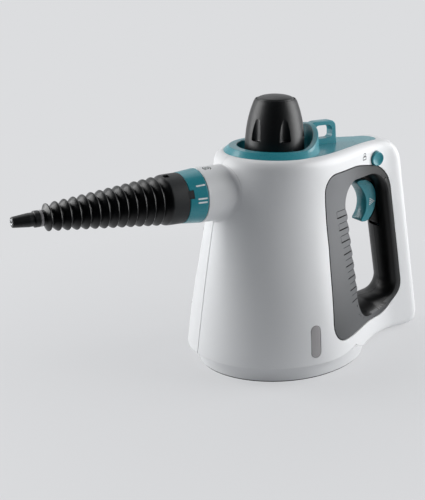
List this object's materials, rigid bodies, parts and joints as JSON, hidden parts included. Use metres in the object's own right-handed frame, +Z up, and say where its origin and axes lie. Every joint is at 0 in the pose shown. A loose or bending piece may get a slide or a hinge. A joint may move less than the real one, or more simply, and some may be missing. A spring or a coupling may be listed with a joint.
{
  "type": "handheld steam cleaner",
  "caption": "Handheld steam cleaner with an upright boiler housing, screw-down filler cap, ribbed tapering nozzle, hand opening with trigger, and a hanging loop.",
  "frame": {"origin": "on the boiler's upright axis, in the plane that the base plate rests on", "axes": "+Z up along the boiler; the nozzle points towards -X and the handle is at +X; the pictured side, with the lock button and the pilot light, faces -Y"},
  "size_m": [0.3935, 0.143, 0.2324],
  "materials": {
    "white_shell": "semi-gloss moulded, white",
    "teal_plastic": "satin moulded, teal",
    "soft_grip": "soft-touch, charcoal",
    "black_plastic": "satin moulded, black",
    "grey_plastic": "satin moulded, grey",
    "lens_grey": "smoked, smooth",
    "brass": "machined",
    "steel": "drawn",
    "cast_aluminium": "die-cast",
    "seal_rubber": "silicone, matt",
    "tube_rubber": "silicone, matt"
  },
  "bodies": {
    "body": {"left_housing": "white_shell", "right_housing": "white_shell", "left_grip": "soft_grip", "right_grip": "soft_grip", "base_skirt": "white_shell", "base_plate": "black_plastic", "top_cover": "teal_plastic", "boiler_lower": "cast_aluminium", "boiler_upper": "cast_aluminium", "filler_neck": "brass", "heating_element": "steel", "thermostat": "steel", "thermal_fuse": "steel", "steam_valve": "brass", "return_spring": "steel", "steam_tube": "tube_rubber", "outlet_socket": "brass", "nozzle_seal": "seal_rubber", "trigger_pin": "steel", "indicator_lens": "lens_grey", "indicator_lamp": "grey_plastic", "cord_inlet": "black_plastic", "housing_screw_1": "steel", "housing_screw_2": "steel", "housing_screw_3": "steel", "housing_screw_4": "steel", "base_screw_1": "steel", "base_screw_2": "steel", "base_screw_3": "steel", "base_screw_4": "steel"},
    "relief_valve": {"relief_plunger": "brass", "relief_spring": "steel"},
    "cap": {"cap_knob": "black_plastic", "cap_disc": "black_plastic", "cap_stem": "brass", "cap_gasket": "seal_rubber"},
    "trigger": {"trigger_pad": "teal_plastic", "trigger_lever": "black_plastic"},
    "rod": {"push_rod": "black_plastic"},
    "lock_button": {"lock_button": "teal_plastic"},
    "ring": {"lock_ring": "teal_plastic"},
    "nozzle": {"nozzle_shroud": "black_plastic", "nozzle_pipe": "steel", "tip_ring": "grey_plastic", "nozzle_tip": "black_plastic", "tip_insert": "steel"}
  },
  "joints": [
    {"name": "cap_lift", "type": "slide", "parent": "body", "child": "relief_valve", "axis": [0, 0, 1], "range_m": [0, 0.018]},
    {"name": "cap_turn", "type": "hinge", "parent": "relief_valve", "child": "cap", "pos_m": [0, 0, 0.2], "axis": [0, 0, 1], "range_deg": [0, 1080]},
    {"name": "trigger_pull", "type": "hinge", "parent": "body", "child": "trigger", "pos_m": [0.107, 0, 0.16], "axis": [0, -1, 0], "range_deg": [0, 8], "stiffness_Nm_per_rad": 1.2, "springref_deg": -2.86},
    {"name": "rod_push", "type": "slide", "parent": "body", "child": "rod", "axis": [-1, 0, 0], "range_m": [0, 0.0017]},
    {"name": "lock_push", "type": "slide", "parent": "body", "child": "lock_button", "axis": [0, 1, 0], "range_m": [0, 0.003]},
    {"name": "ring_turn", "type": "hinge", "parent": "body", "child": "ring", "pos_m": [-0.084, 0, 0.1563], "axis": [1, 0, 0], "range_deg": [0, 35]},
    {"name": "nozzle_pull", "type": "slide", "parent": "ring", "child": "nozzle", "axis": [-1, 0, 0], "range_m": [0, 0.045]}
  ],
  "couplings": [
    {"joint": "cap_lift", "follows": "cap_turn", "m_per_rad": 0.00095493},
    {"joint": "rod_push", "follows": "trigger_pull", "m_per_rad": 0.0115}
  ]
}
